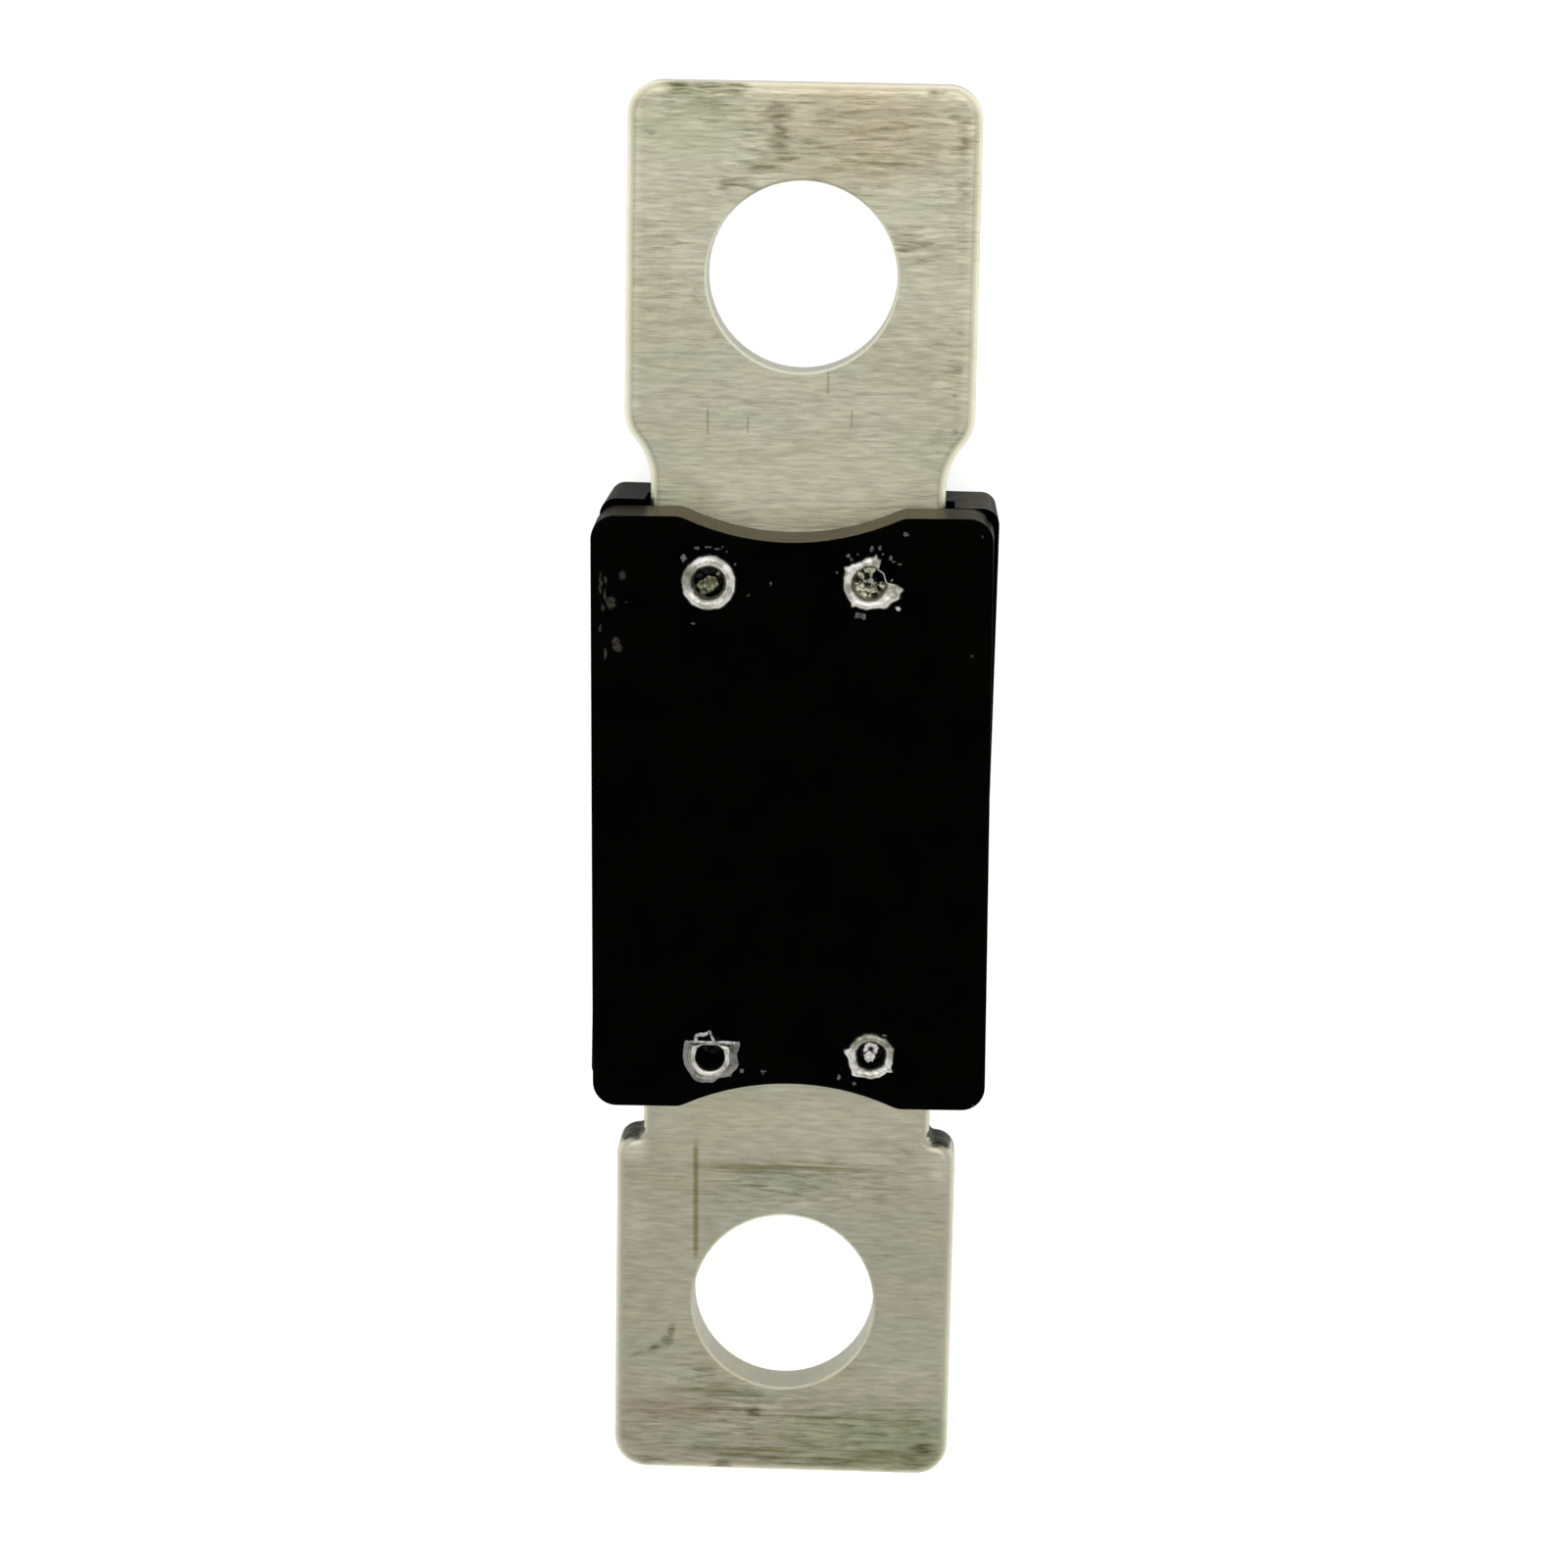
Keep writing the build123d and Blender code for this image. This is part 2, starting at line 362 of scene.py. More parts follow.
def plating(s):
    """Colour of the clean plating, with its patches of tint."""
    cloud = s.noise((0.16, 0.22, 0.2), shift=5.0)
    tint = s.noise((0.12, 0.35, 0.2), detail=2.0, shift=41.0)
    colour = s.mix(s.step(cloud, 0.35, 0.65), rgb(0.575, 0.55, 0.405), rgb(0.615, 0.595, 0.46))
    colour = s.mix(s.step(tint, 0.52, 0.72), colour, rgb(0.605, 0.578, 0.44))
    colour = s.mix(s.step(tint, 0.48, 0.30), colour, rgb(0.55, 0.56, 0.425))
    for x, y, across, along, strength, multiplier in TINTS:
        amount = s.times(s.step(s.patch(x, y, STRIP_FACE, across, along), 0.0, 0.7), strength)
        colour = s.multiply_colour(amount, colour, multiplier)
    return colour


def brushing_and_painted_light(s, fine, coarse, upper_end, worn):
    """Lightness of the front face: the lines of its brushing, fainter towards the lower end, painted
    glints in its worn parts, painted light beside the housing and along the upper end's sides, and painted
    shade at the lower end.
    """
    relief = s.plus(s.span(fine, -0.42, 0.42), s.span(coarse, -0.18, 0.18))
    relief = s.times(relief, s.span(upper_end, 0.75, 1.0), s.span(worn, 1.0, 1.3))
    # Painted glints along the brushing, in the worn parts.
    glints = s.step(s.noise((0.6, 5.6, 0.4), detail=2.5, shift=83.0), 0.50, 0.72)
    # Painted light: the face is lighter beside the housing.
    painted_light_by_housing = s.step(s.calc("ABSOLUTE", s.y), 18.5, 15.5)
    # Painted shade: the face is darker at the lower end.
    painted_shade_low_end = s.step(s.y, -29.6, -31.2)
    # Painted highlights along the sides of the upper end, beside the rolled edges.
    painted_highlight_upper_sides = s.times(s.step(s.calc("ABSOLUTE", s.x), 7.45, 8.0), s.step(s.y, 18.0, 19.5))
    level = s.plus(1.0, relief, s.times(glints, s.span(worn, 0.10, 0.24)))
    level = s.plus(level, s.times(painted_light_by_housing, 0.13), s.times(painted_highlight_upper_sides, 0.16))
    return s.less(level, s.times(painted_shade_low_end, 0.10))


def painted_edge_light(s, coarse, upper_end):
    """Painted light of the rolled edges, the rims of the bolt holes and the walls: painted highlights on
    the edges and hole rims, brighter at the upper end, and painted shade on the walls.
    """
    beyond_hole = s.less(s.calc("ABSOLUTE", s.y), HOLE_Y)
    from_hole = s.calc("SQRT", s.plus(s.times(s.x, s.x), s.times(beyond_hole, beyond_hole)))
    # Painted highlight on the rims of the bolt holes.
    painted_hole_rim_highlight = s.step(from_hole, HOLE_RADIUS + 0.5, HOLE_RADIUS + 0.3)
    uneven = s.span(s.noise((1.2, 1.2, 1.2), shift=9.0), 0.90, 1.12)
    rim = s.times(uneven, s.span(upper_end, 0.86, 1.14), s.span(painted_hole_rim_highlight, 1.0, 1.5))
    # Painted highlight on the slopes of the rolled edges, brighter at the upper end.
    painted_slope_highlight = s.times(s.step(s.facing_up, 0.996, 0.95), s.step(s.facing_up, 0.55, 0.85))
    rim = s.plus(rim, s.times(painted_slope_highlight, s.span(upper_end, 0.06, 0.24)))
    # Painted shade on the walls.
    wall = s.step(s.facing_up, 0.30, 0.04)
    return s.plus(rim, s.times(wall, s.less(s.span(coarse, 0.46, 0.62), rim)))


def worn_dashes(s, worn):
    """Short dark dashes, more of them where the face is worn."""
    low = s.span(worn, 0.60, 0.50)
    dashes = s.step(s.noise((0.75, 5.8, 0.4), shift=27.0), low, s.plus(low, 0.16))
    return s.times(dashes, s.span(worn, 0.22, 0.46))


def shoulder_shade_and_grime(s):
    """Amount and colour of the painted shade and grime on the walls of the lower shoulders."""
    shade_and_grime = s.step(s.marks(SHOULDER_SHADE_AND_GRIME, SHOULDER_LEVEL, depth=2.4), 0.0, 0.3)
    shade_and_grime = s.times(shade_and_grime, s.step(s.facing_up, 0.80, 0.45))
    shade_and_grime_streaks = s.step(s.noise((1.3, 1.3, 2.6), shift=57.0), 0.44, 0.60)
    return shade_and_grime, s.mix(shade_and_grime_streaks, rgb(0.040, 0.044, 0.026), rgb(0.26, 0.27, 0.20))


def strip_metal():
    """Cross brushed, plated strip with worn ends, stains, scratches, painted highlights on its rolled
    edges and hole rims, and painted shade on its walls and lower shoulders.
    """
    s = Shader("plated_strip_brushed")
    s.fray((0.9, 3.2, 0.5), (1.8, 0.5, 0.0))
    fine = s.noise((1.0, 6.2, 0.5))
    coarse = s.noise((0.30, 2.6, 0.4), shift=11.0)
    upper_end = s.step(s.y, -16.0, 16.0)
    worn = s.step(s.marks(WORN, STRIP_FACE), 0.0, 0.6)

    hatch = s.step(s.noise((0.9, 6.4, 0.5), shift=63.0), 0.33, 0.66)
    dashes = worn_dashes(s, worn)
    smears = s.step(s.marks(DARK_SMEARS, STRIP_FACE), 0.0, 0.85)
    smears = s.times(smears, s.span(hatch, 0.25, 1.0))
    smudges = s.step(s.marks(SMUDGES, STRIP_FACE, form=s.smudge), 0.0, 0.8)
    smudges = s.times(smudges, s.span(hatch, 0.45, 1.0))
    lines = s.step(s.noise((0.11, 4.6, 0.4), detail=4.0, shift=77.0), 0.44, 0.60)
    lines = s.times(lines, s.step(s.marks(LINED, STRIP_FACE), 0.0, 0.6))
    scratches = s.marks(SCRATCHES, STRIP_FACE, form=s.bar)
    # Pale wear with painted highlights on the lower shoulders and along the lower end's left edge.
    pale = s.step(s.marks(PALE_WEAR_AND_HIGHLIGHTS, STRIP_FACE, form=s.smudge), 0.0, 0.9)
    shade_and_grime, shade_and_grime_streaks = shoulder_shade_and_grime(s)

    colour = s.mix(s.times(pale, 0.6), plating(s), rgb(0.88, 0.85, 0.68))
    colour = s.multiply_colour(dashes, colour, rgb(0.36, 0.34, 0.24))
    colour = s.multiply_colour(smears, colour, rgb(0.40, 0.40, 0.31))
    colour = s.multiply_colour(smudges, colour, rgb(0.36, 0.37, 0.26))
    colour = s.multiply_colour(lines, colour, rgb(0.55, 0.52, 0.40))
    colour = s.multiply_colour(scratches, colour, rgb(0.54, 0.46, 0.31))
    # Painted shade with grime on the walls of the lower shoulders, which are also less metallic there.
    colour = s.mix(s.times(shade_and_grime, 0.92), colour, shade_and_grime_streaks)

    flat = s.step(s.facing_up, 0.90, 0.995)
    face_share = s.times(brushing_and_painted_light(s, fine, coarse, upper_end, worn), flat)
    edge_share = s.times(painted_edge_light(s, coarse, upper_end), s.less(1.0, flat))
    # Painted light and shade: the face and edges are lightened and darkened.
    colour = s.shaded(colour, s.plus(face_share, edge_share))

    height = s.plus(s.times(fine, 0.6), s.times(coarse, 0.4))
    height = s.less(height, s.plus(s.times(scratches, 0.8), s.times(dashes, 0.3)))
    return s.finish(
        Base_Color=colour,
        Metallic=s.span(shade_and_grime, 1.0, 0.1),
        Specular_IOR_Level=0.01,
        Roughness=s.plus(s.span(fine, 0.30, 0.44), s.times(smears, 0.15)),
        Normal=s.bump(height, 0.02, 0.7),
    )


# Scuffs and specks on the front cover's face, in millimetres, in the form of the strip's marks
SCUFFS = [
    (-9.15, 11.11, 0.09, 0.62, 0, 1.0),
    (-8.91, 11.27, 0.09, 0.24, 0, 0.8),
    (-8.91, 10.53, 0.09, 0.38, 0, 0.9),
    (-8.13, 11.50, 0.20, 0.30, 0, 0.7),
    (-8.64, 10.18, 0.28, 0.36, 0, 1.0),
    (-9.03, 9.94, 0.08, 0.22, 0, 0.7),
    (-7.95, 10.21, 0.07, 0.07, 0, 0.6),
    (-9.13, 8.96, 0.08, 0.24, 0, 0.9),
    (-8.39, 8.31, 0.24, 0.25, 0, 0.9),
    (-8.29, 8.02, 0.25, 0.24, 0, 1.0),
    (-8.88, 7.74, 0.09, 0.36, 0, 1.0),
    (-2.18, 10.70, 0.09, 0.09, 0, 1.0),
    (8.45, 8.02, 0.09, 0.09, 0, 0.8),
    (8.79, 13.74, 0.09, 0.09, 0, 0.7),
]


def moulding():
    """Black moulded plastic with faint scuffs on the front face, olive wear and painted light on its end
    walls, a painted reflection of the strip on the glossier walls in line with the necks, and a painted
    highlight on the front cover's right side.
    """
    s = Shader("black_moulding_satin")
    s.fray((3.0, 3.0, 3.0), (0.25, 0.25, 0.0))
    grain = s.noise((9.0, 9.0, 9.0))
    cloud = s.noise((0.4, 0.4, 0.4), shift=3.0)
    streaks = s.step(s.noise((0.5, 0.5, 4.0), shift=47.0), 0.40, 0.60)

    end_wall = s.step(s.calc("ABSOLUTE", s.facing_along), 0.72, 0.86)
    end_wall = s.times(end_wall, s.less(1.0, s.step(s.facing_up, 0.12, 0.30)))
    lid = s.step(s.z, STRIP_FACE, STRIP_FACE + 0.1)
    lid_end = s.times(end_wall, lid)
    # The front cover's end walls in line with the necks: glossier, and painted with a reflection of the
    # strip.
    polished_with_painted_reflection = s.times(lid_end, s.step(s.calc("ABSOLUTE", s.x), 7.3, 6.7))
    # Painted light on the end walls at the upper end: strong right of the neck, faint left of it.
    painted_light_end_walls = s.plus(s.step(s.x, 6.8, 8.6), s.times(s.step(s.x, -8.2, -9.4), 0.2))
    painted_light_end_walls = s.times(painted_light_end_walls, s.span(streaks, 0.4, 1.0), end_wall, s.step(s.y, 0.0, 1.0))
    # Painted highlight on the front cover's right side, near its upper end.
    painted_side_highlight = s.times(s.step(s.facing_across, 0.80, 0.95), s.step(s.y, 11.5, 14.0), lid)
    speckled = s.step(s.noise((6.0, 6.0, 6.0), shift=13.0), 0.38, 0.58)
    scuffs = s.times(s.step(s.marks(SCUFFS, FACE), 0.0, 0.4), s.span(speckled, 0.35, 1.0))

    colour = s.mix(s.step(cloud, 0.35, 0.65), rgb(0.0008, 0.0008, 0.0008), rgb(0.0016, 0.0016, 0.0015))
    colour = s.mix(scuffs, colour, rgb(0.050, 0.050, 0.036))
    # Olive wear with painted light, in streaks, on the front cover's end walls.
    colour = s.mix(s.times(lid_end, s.span(streaks, 0.7, 1.0)), colour, rgb(0.038, 0.035, 0.023))
    # Painted reflection of the strip's neck, olive-brown.
    painted_reflection_colour = s.mix(streaks, rgb(0.096, 0.084, 0.043), rgb(0.116, 0.101, 0.055))
    colour = s.mix(polished_with_painted_reflection, colour, painted_reflection_colour)
    # Painted light on the end walls.
    colour = s.mix(painted_light_end_walls, colour, rgb(0.078, 0.075, 0.047))
    # Painted highlight on the right side.
    colour = s.mix(painted_side_highlight, colour, rgb(0.060, 0.058, 0.044))

    rough = s.plus(s.span(cloud, 0.36, 0.46), s.times(scuffs, 0.2))
    return s.finish(
        Base_Color=colour,
        Roughness=s.less(rough, s.times(polished_with_painted_reflection, 0.18)),
        Specular_IOR_Level=0.004,
        Specular_Tint=rgb(1.0, 0.95, 0.72),
        Normal=s.bump(s.plus(grain, s.times(scuffs, 2.0)), 0.01, 0.3),
    )


def rivet_metal(name, rivet):
    """Bright plated rivet metal with stains, painted shade on its flanks and outer rim, the bore's colour
    deeper in with painted shade where it is dark, and painted black shade at the bottom of its bore.
    """
    s = Shader(name)
    s.fray((3.0, 3.0, 3.0), (0.5, 0.5, 0.0))
    grain = s.noise((5.0, 5.0, 5.0), detail=4.0)
    blots = s.noise((1.8, 1.8, 1.8), shift=19.0)
    colour = s.mix(s.step(grain, 0.35, 0.65), rgb(0.78, 0.78, 0.70), rgb(0.98, 0.98, 0.91))
    colour = s.multiply_colour(s.step(blots, 0.48, 0.62), colour, rgb(0.58, 0.58, 0.52))

    centre = rivet.hole() + rivet.slip
    start, finish, darkest = rivet.rim_shade
    off_centre = s.vector("SUBTRACT", s.place, (*centre, 0.0))
    off_centre = s.vector("MULTIPLY", off_centre, (1.0, 1.0, 0.0))
    from_centre = s.node("ShaderNodeVectorMath", {0: off_centre}, operation="LENGTH").outputs["Value"]
    colour = s.shaded(colour, s.span(s.step(from_centre, start, finish), 1.0, darkest))
    # Dull patches: partly stains and partly painted shade.
    dull = [(centre.x + x, centre.y + y, size, size, 0, strength) for x, y, size, strength in rivet.dull]
    patchy_stain_and_shade = s.step(s.marks(dull, FACE, depth=1.0), 0.0, 0.6)
    colour = s.multiply_colour(patchy_stain_and_shade, colour, rgb(0.42, 0.42, 0.36))
    # Painted shade on the steep flanks.
    colour = s.shaded(colour, s.span(s.step(s.facing_up, 0.85, 0.20), 1.0, 0.45))
    # Deeper in, the bore's colour: painted shade where it is dark.
    colour = s.mix(s.step(s.z, FACE - 0.04, FACE - 0.25), colour, rivet.bore_colour)
    # Painted black shade at the bottom of the bore.
    pit = s.step(s.z, FACE - rivet.pit + 0.06, FACE - rivet.pit - 0.06)
    colour = s.mix(pit, colour, rgb(0.006, 0.006, 0.004))
    return s.finish(
        Base_Color=colour,
        Metallic=s.span(pit, 1.0, 0.5),
        Roughness=s.span(grain, 0.22, 0.40),
        Normal=s.bump(grain, 0.05, 0.8),
    )


def stub_metal(name, light, dark):
    """Broken metal in a rivet's bore, with painted shade on its steep sides."""
    s = Shader(name)
    grain = s.noise((4.0, 4.0, 4.0), shift=29.0)
    colour = s.mix(s.step(grain, 0.40, 0.60), dark, light)
    # The steep sides are darkened as painted shade.
    return s.finish(
        Base_Color=s.shaded(colour, s.span(s.step(s.facing_up, 0.80, 0.20), 1.0, 0.25)),
        Metallic=0.9,
        Roughness=s.span(grain, 0.28, 0.45),
        Normal=s.bump(grain, 0.06, 0.9),
    )


def crumb_metal(name, dark, light):
    """Metal of the slivers that the rivets threw off."""
    s = Shader(name)
    grain = s.noise((6.0, 6.0, 6.0))
    return s.finish(
        Base_Color=s.mix(s.step(grain, 0.35, 0.65), dark, light),
        Metallic=0.5,
        Roughness=0.45,
        Normal=s.bump(grain, 0.04, 0.8),
    )


def bell(angle, centre, half_width):
    """1 at the centre angle, falling smoothly to 0 at the half width, in degrees."""
    off = abs((angle - centre + 180.0) % 360.0 - 180.0) / half_width
    return 0.5 + 0.5 * math.cos(math.pi * off) if off < 1.0 else 0.0


def plateau(angle, centre, half_width, edge):
    """1 near the centre angle, falling to 0 over an edge at the half width, in degrees."""
    off = abs((angle - centre + 180.0) % 360.0 - 180.0)
    share = min(1.0, max(0.0, (half_width - off) / edge + 0.5))
    return share * share * (3 - 2 * share)


# Sections of a rolled end: share of the way from its outer edge to its bore, and share of its height
ROUND_ROLL = (
    (0.03, 0.24), (0.08, 0.50), (0.16, 0.75), (0.27, 0.93), (0.40, 1.0), (0.55, 1.0),
    (0.69, 0.90), (0.80, 0.70), (0.89, 0.42), (0.95, 0.12), (1.0, -0.3),
)
LIPPED_ROLL = (
    (0.03, 0.20), (0.10, 0.40), (0.22, 0.52), (0.34, 0.48), (0.42, 0.36), (0.47, 0.26), (0.51, 0.30),
    (0.57, 0.66), (0.65, 0.93), (0.75, 1.0), (0.86, 0.94), (0.94, 0.62), (1.0, -0.1),
)

# Section of a rivet's head: share of its radius, and share of its dome's height
HEAD_SECTION = ((0.3, 0.09), (0.6, 0.36), (0.85, 0.72), (0.96, 0.94), (1.0, 1.12))

# Section of a rivet's bore: share of its mouth's radius, and share of its depth.
# Its rough floor is made of rings.
BORE_SECTION = ((0.98, 0.35), (0.96, 0.6), (0.95, 0.85), (0.92, 0.97))
FLOOR_RINGS = 10
FLOOR_REACH = 0.85


@dataclass
class Rivet:
    """A rivet with its torn or rolled end, in millimetres and degrees.

    side, end: which hole of the front cover.
    slip: how far the rolled end is off its hole.
    ring, mouth: radii of the rolled end and of its bore.
    lobes: angle, half width and reach of each torn or spread part.
    bore_colour: colour down in the bore: its own colour, with painted shade where it is dark.
    floor, pit, grit: depth of the bore's floor, depth below which it is painted black as shade, and
    roughness of the floor.
    wave: unevenness of the rims.
    dull: place, radius and strength of each dull patch, partly a stain and partly painted shade.
    stubs: place, radius, level and pit radius of each lump in the bore.
    stub_colours: light and dark colour of the lumps.
    rim_shade: radii between which the end darkens outwards, and its darkest share.
    roll: section of the rolled end.
    missing: angle and half width of a gap in the rolled end.
    top_cut: how far from its middle the rolled end is cut straight, towards +Y.
    """

    side: int
    end: int
    slip: Vector
    ring: float
    mouth: float
    lobes: list
    bore_colour: tuple
    floor: float
    pit: float
    wave: float
    dull: list
    grit: float = 0.05
    stubs: tuple = ()
    stub_colours: tuple = ()
    rim_shade: tuple = (1.2, 1.6, 0.8)
    roll: tuple = ROUND_ROLL
    missing: tuple = None
    top_cut: float = None

    def hole(self):
        """Middle of the rivet's hole in the turned front cover."""
        x, y = self.side * RIVET_X, self.end * RIVET_Y
        cos, sin = math.cos(COVER_TURN), math.sin(COVER_TURN)
        return Vector((x * cos - y * sin, x * sin + y * cos))

    def waver(self, angle, seed, pace=2.2):
        """A wave round the rivet, the same at 0 and 360 degrees."""
        turn = math.radians(angle)
        layer = seed + 7.0 * self.side + 3.0 * self.end
        return self.wave * noise.noise(Vector((pace * math.cos(turn), pace * math.sin(turn), layer)))

    def gap(self, angle):
        """1 where the rolled end is torn away and 0 elsewhere."""
        return plateau(angle, self.missing[0], self.missing[1], 5.0) if self.missing else 0.0

    def reach(self, angle):
        """Radius of the rolled end's outer edge at an angle."""
        radius = self.ring + self.waver(angle, 0.0) + 0.5 * self.waver(angle, 3.0, pace=6.0)
        radius += sum(out * bell(angle, centre, width) for centre, width, out in self.lobes)
        least = self.bore(angle) + 0.09
        radius = max(radius, least) + self.gap(angle) * (least - radius)
        rise = math.sin(math.radians(angle))
        if self.top_cut and rise * radius > self.top_cut:
            radius = self.top_cut / rise
        return radius

    def bore(self, angle):
        """Radius of the bore's mouth at an angle."""
        radius = self.mouth + 0.7 * self.waver(angle, 5.0)
        rise = math.sin(math.radians(angle))
        if self.top_cut and rise * radius > self.top_cut - 0.23:
            radius = (self.top_cut - 0.23) / rise
        return radius

    def foot(self, angle):
        """Level of the rolled end's outer edge: on the face, or down the shank where it is torn away."""
        return FACE - 0.6 * self.gap(angle)

    def rolled(self, angle, part, rise):
        """Radius and level of a point of the rolled end."""
        outer, inner = self.reach(angle), self.bore(angle)
        height = (RING_TOP - FACE) * min(1.0, 0.45 + 1.3 * (outer - inner))
        height = min(RING_TOP - FACE, height * (0.93 + 1.5 * self.waver(angle, 9.0)))
        return outer + (inner - outer) * part, FACE + height * rise

    def rows(self):
        """Rings of points from the head's middle to the bore's floor, each with its share of the slip."""
        angles = [360.0 * i / RIVET_STEPS for i in range(RIVET_STEPS)]
        head = [(share * HEAD_RADIUS, HEAD_BASE + rise * HEAD_DOME) for share, rise in HEAD_SECTION]
        head += [(HEAD_RADIUS, HEAD_TOP - HEAD_BEVEL), (HEAD_RADIUS - HEAD_BEVEL, HEAD_TOP)]
        head += [(SHANK_RADIUS, HEAD_TOP)]
        for point in head:
            yield 0.0, [point] * RIVET_STEPS
        yield 0.0, [(SHANK_RADIUS, self.foot(a) - SHANK_GAP) for a in angles]
        yield 1.0, [(0.95 * min(SHANK_RADIUS, self.reach(a)), self.foot(a) - 0.02) for a in angles]
        yield 1.0, [(self.reach(a), self.foot(a)) for a in angles]
        for part, rise in self.roll:
            yield 1.0, [self.rolled(a, part, rise) for a in angles]
        for share, sink in BORE_SECTION:
            yield 1.0, [(share * self.bore(a), FACE - sink * self.floor) for a in angles]
        for k in range(FLOOR_RINGS, 0, -1):
            share = FLOOR_REACH / FLOOR_RINGS * k
            yield 1.0, [self.floor_point(a, share * self.bore(a)) for a in angles]

    def floor_point(self, angle, radius):
        """Radius and level of a point of the bore's rough floor."""
        turn = math.radians(angle)
        layer = self.side + 2.0 * self.end
        where = Vector((4.2 * radius * math.cos(turn), 4.2 * radius * math.sin(turn), layer))
        torn = 0.5 * self.gap(angle) * min(1.0, 3.0 * max(0.0, radius - 0.2))
        return radius, FACE - self.floor - torn + self.grit * noise.turbulence(where, 3, False)

    def stub_section(self, radius, top, pit):
        """Radius and level along a lump in the bore, from its foot to its top or down into its pit."""
        rows = [(1.0, self.stub_foot()), (1.0, top - 0.30), (1.0, top - 0.14), (0.96, top - 0.05)]
        rows += [(0.87, top - 0.01), (0.7, top), (0.45, top - 0.02)]
        if pit:
            rows += [(pit / radius, top - 0.03), (0.8 * pit / radius, top - 0.9)]
        return [(share * radius, level) for share, level in rows]

    def stub_foot(self):
        """Level of the lumps' feet, just under the bore's floor."""
        return -self.floor - 0.05

    def add_stub(self, shells, number, x, y, radius, top, pit):
        """Adds a lump to the shells, with levels measured from the front face."""
        x, y = self.hole() + self.slip + Vector((x, y))
        rings = []
        for radius, level in self.stub_section(radius, top, pit):
            row = []
            for i in range(RIVET_STEPS):
                turn = 2 * math.pi * i / RIVET_STEPS
                where = Vector((2 * math.cos(turn), 2 * math.sin(turn), 11 * number + 3 * level))
                uneven = radius * (1 + 0.25 * noise.noise(where))
                row.append((uneven, FACE + level + 0.035 * noise.noise(5 * where)))
            rings.append(shells.ring(x, y, row))
        shells.loft(rings, (x, y, FACE + self.stub_foot()), (x, y, FACE + level))

    def mesh(self, name):
        """The rivet as closed shells: itself with the first material, and its lumps with the second."""
        hole = self.hole()
        shells = Shells(RIVET_STEPS)
        rings = []
        for share, row in self.rows():
            x, y = hole + share * self.slip
            rings.append(shells.ring(x, y, row))
        shells.loft(rings, (hole.x, hole.y, HEAD_BASE), (*(hole + self.slip), FACE - self.floor))
        body_faces = len(shells.faces)
        for number, stub in enumerate(self.stubs):
            self.add_stub(shells, number, *stub)
        return shells.mesh(name, smooth=True, second_from=body_faces)


class Shells:
    """Closed shells, in millimetres, each lofted through rings of points round upright axes."""

    def __init__(self, sides):
        self.sides = sides
        self.points = []
        self.faces = []

    def ring(self, x, y, row):
        """Adds a ring of points, from the radius and level of each, and returns its first index."""
        first = len(self.points)
        for i, (radius, level) in enumerate(row):
            turn = 2 * math.pi * i / self.sides
            self.points.append((x + radius * math.cos(turn), y + radius * math.sin(turn), level))
        return first

    def loft(self, rings, start, finish):
        """Joins rings that run up the outside, and closes both ends to a point."""
        self.points += [start, finish]
        start, finish = len(self.points) - 2, len(self.points) - 1
        for i in range(self.sides):
            after = (i + 1) % self.sides
            self.faces.append((start, rings[0] + after, rings[0] + i))
            for low, high in zip(rings, rings[1:]):
                self.faces.append((low + i, low + after, high + after, high + i))
            self.faces.append((rings[-1] + i, rings[-1] + after, finish))

    def mesh(self, name, smooth, second_from):
        """All the shells as one mesh, whose faces from a number on have its second material."""
        mesh = bpy.data.meshes.new(name)
        mesh.from_pydata([Vector(p) * MM for p in self.points], [], self.faces)
        mesh.polygons.foreach_set("use_smooth", [smooth] * len(mesh.polygons))
        slots = [int(i >= second_from) for i in range(len(self.faces))]
        mesh.polygons.foreach_set("material_index", slots)
        return mesh


